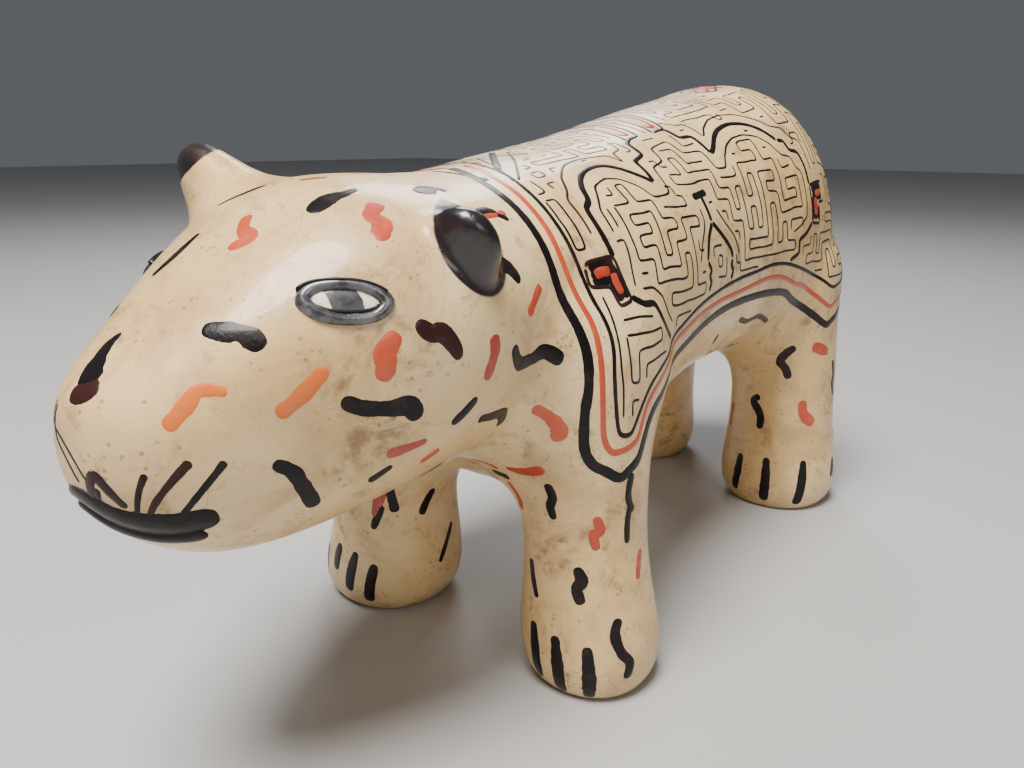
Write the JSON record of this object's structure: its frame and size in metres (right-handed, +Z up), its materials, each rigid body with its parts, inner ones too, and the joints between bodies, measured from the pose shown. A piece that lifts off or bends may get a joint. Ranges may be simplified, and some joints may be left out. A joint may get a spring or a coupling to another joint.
{
  "type": "hollow clay big cat figure",
  "caption": "Hollow hand-formed clay big cat standing on four paws, slip-painted with spots and a patterned saddle, for display on a shelf.",
  "frame": {"origin": "centre of the figure's outline seen from above, on the floor that the paws stand on", "axes": "+Z up, nose towards -Y, the animal's left side towards +X"},
  "size_m": [0.1168, 0.3076, 0.1614],
  "materials": {
    "cream_slip": "cream slip on earthenware, stained, under a glossy resin varnish",
    "black_slip": "brown-black slip paint on earthenware, under a glossy resin varnish"
  },
  "bodies": {
    "root": {"trunk_shell": "cream_slip", "head_shell": "cream_slip", "left_front_leg": "cream_slip", "right_front_leg": "cream_slip", "left_rear_leg": "cream_slip", "right_rear_leg": "cream_slip", "left_front_sole": "cream_slip", "right_front_sole": "cream_slip", "left_rear_sole": "cream_slip", "right_rear_sole": "cream_slip", "left_ear": "cream_slip", "right_ear": "cream_slip", "tail": "cream_slip", "left_eyelid": "black_slip", "right_eyelid": "black_slip", "left_eyeball": "cream_slip", "right_eyeball": "cream_slip", "upper_lip": "black_slip", "lower_lip": "black_slip"}
  },
  "joints": []
}
